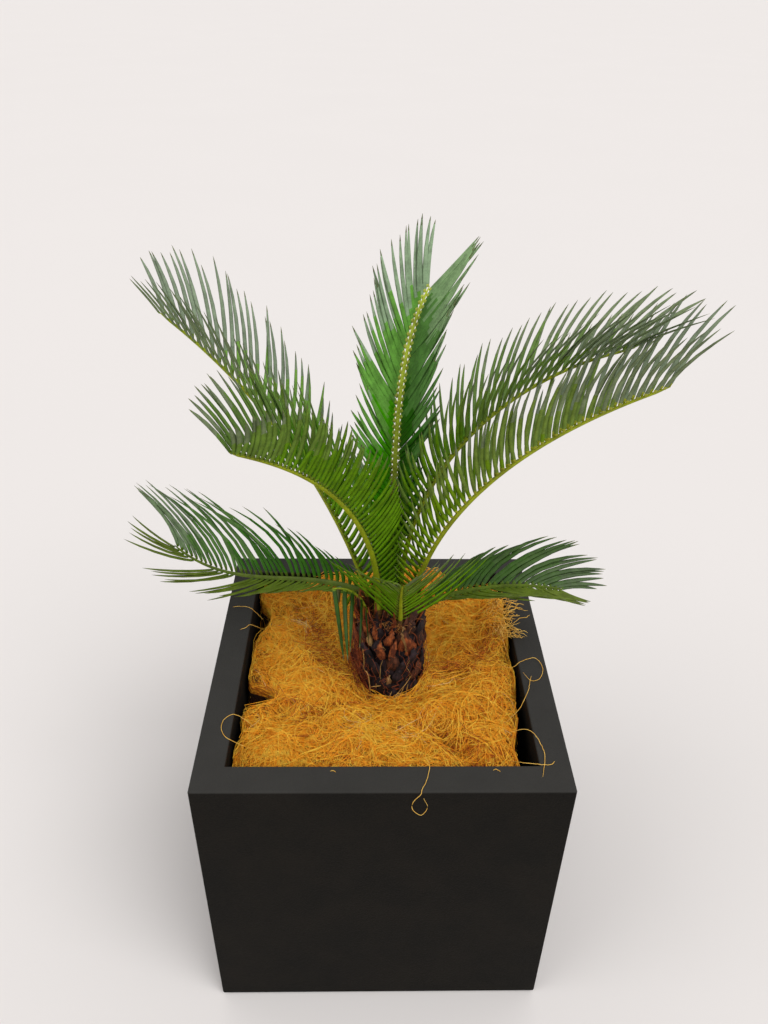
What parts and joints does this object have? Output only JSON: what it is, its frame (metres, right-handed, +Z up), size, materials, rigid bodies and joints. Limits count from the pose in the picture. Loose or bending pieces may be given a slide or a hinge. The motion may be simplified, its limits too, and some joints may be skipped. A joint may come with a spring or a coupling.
{
  "type": "potted sago palm",
  "caption": "Young sago palm with a stout scaly stem and arching feather fronds, in a square charcoal fibre-clay pot filled with soil and topped with coconut fibre.",
  "frame": {"origin": "middle of the pot's flat underside", "axes": "+Z up, +X to the right in the picture's front view, -Y to the front"},
  "size_m": [0.4972, 0.3594, 0.7587],
  "materials": {
    "fibre_clay": "matt charcoal fibre clay with a fine sandy grain",
    "soil": "loose dark potting soil",
    "coconut_fibre": "loose golden coconut fibre",
    "stem_scales": "rough dark brown leaf bases",
    "frond_green": "green leathery leaflets with a soft sheen"
  },
  "bodies": {
    "root": {"pot": "fibre_clay", "potting_soil": "soil", "coconut_fibre": "coconut_fibre", "stem": "stem_scales", "frond_back": "frond_green", "frond_upper_left": "frond_green", "frond_front_right": "frond_green", "frond_front_left": "frond_green", "frond_upper_right": "frond_green", "frond_low_left": "frond_green", "frond_low_right": "frond_green", "frond_small_front": "frond_green", "frond_low_back": "frond_green", "frond_stunted": "frond_green"}
  },
  "joints": []
}
